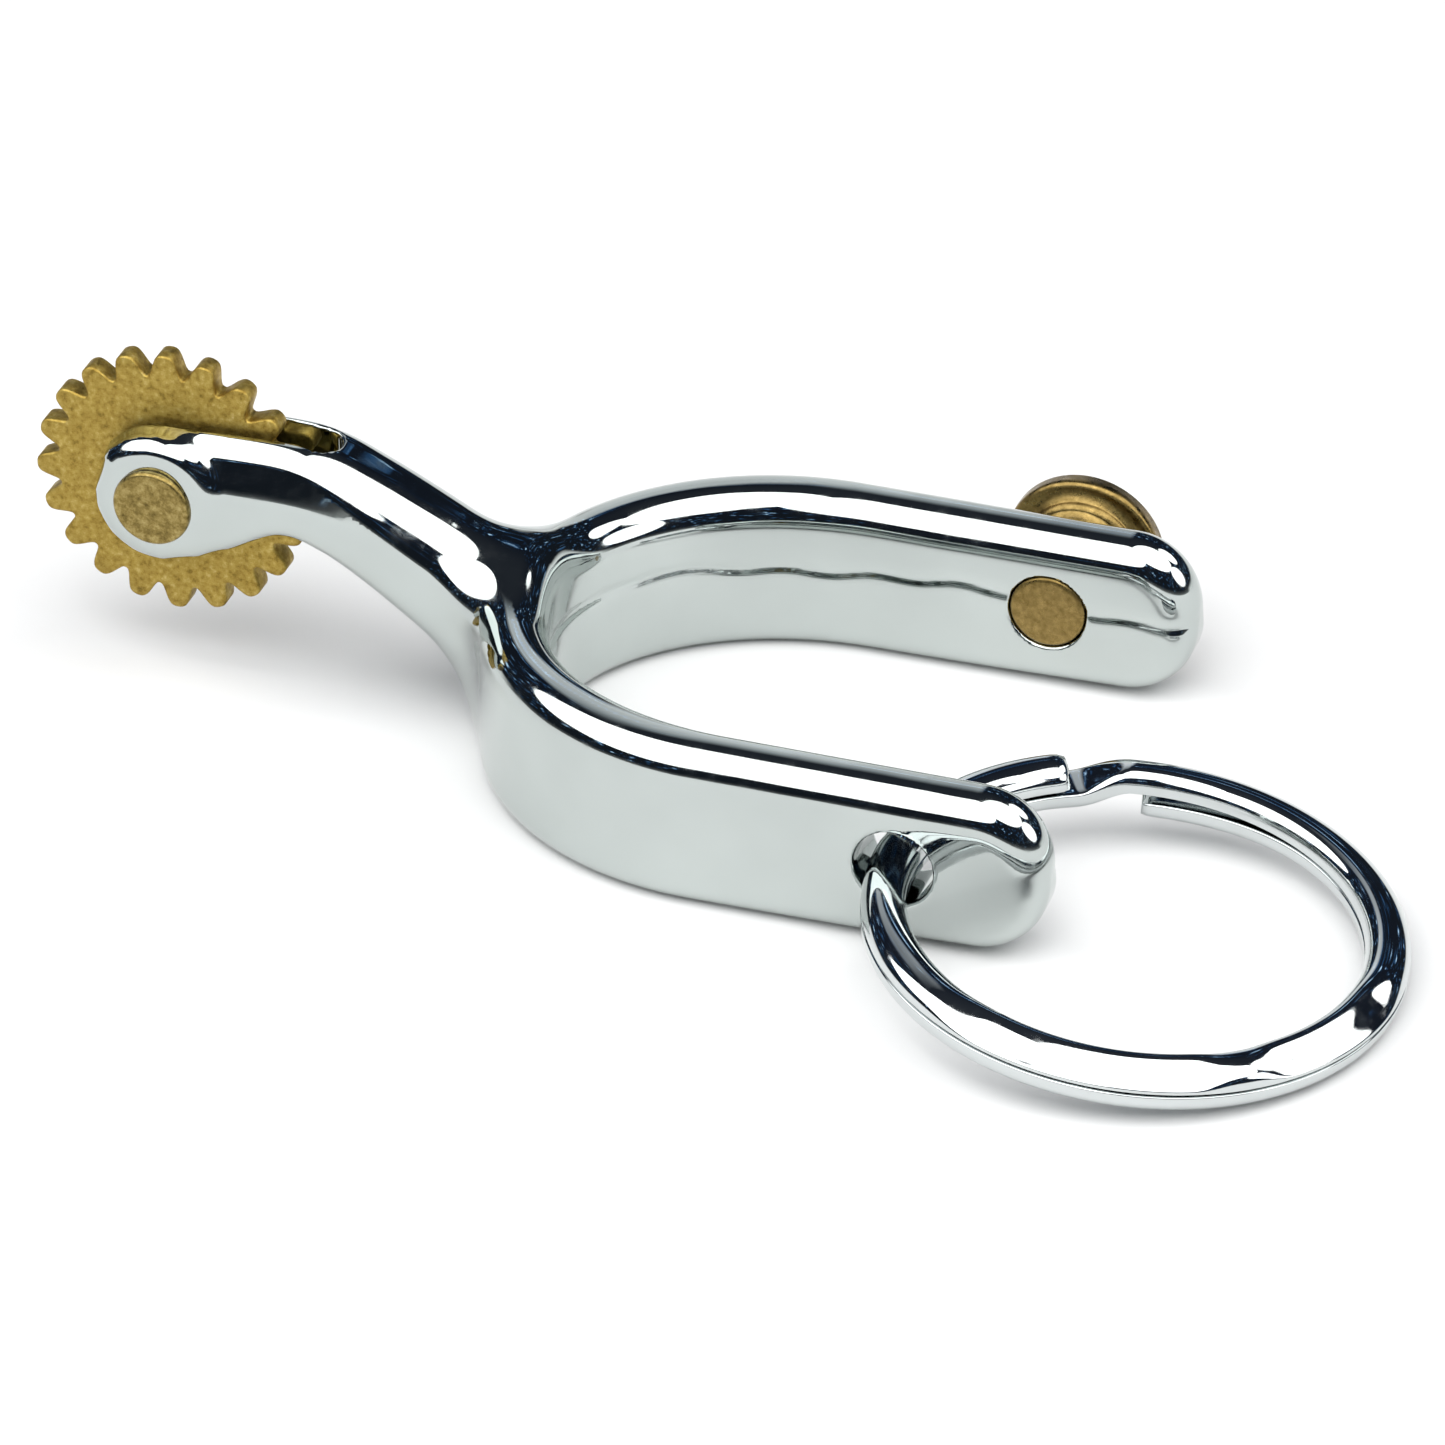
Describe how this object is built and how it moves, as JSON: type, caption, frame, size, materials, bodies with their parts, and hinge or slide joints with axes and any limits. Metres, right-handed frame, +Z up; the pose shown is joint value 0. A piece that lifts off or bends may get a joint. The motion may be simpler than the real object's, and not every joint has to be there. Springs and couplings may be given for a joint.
{
  "type": "spur with rowel and split ring",
  "caption": "Small plated spur: a U-shaped heel band and forked shank with a free-turning toothed brass rowel, a strap button on one arm and a split ring through the other.",
  "frame": {"origin": "on the underside of the heel band, at the middle of its thickness on the mid-plane", "axes": "+X towards the arm tips, +Y towards the arm that carries the strap button, +Z up"},
  "size_m": [0.0801, 0.0473, 0.0187],
  "materials": {
    "plated_casting": "bright chrome plate over a polished casting",
    "ring_wire": "bright nickel plated spring wire",
    "rowel_brass": "dull stamped brass with mottled tarnish",
    "pin_brass": "peened brass, worn bright at its rim",
    "button_brass": "turned brass, lightly tarnished"
  },
  "bodies": {
    "spur": {"yoke": "plated_casting", "rowel_pin": "pin_brass", "strap_button": "button_brass"},
    "rowel": {"rowel": "rowel_brass"},
    "key_ring": {"split_ring": "ring_wire"}
  },
  "joints": [
    {"name": "rowel_spin", "type": "hinge", "parent": "spur", "child": "rowel", "pos_m": [-0.02005, 0, 0.01097], "axis": [0, 1, 0], "continuous": true},
    {"name": "ring_swing", "type": "hinge", "parent": "spur", "child": "key_ring", "pos_m": [0.02519, -0.01345, 0.0041], "axis": [0, 1, 0], "range_deg": [-155, 155]}
  ]
}
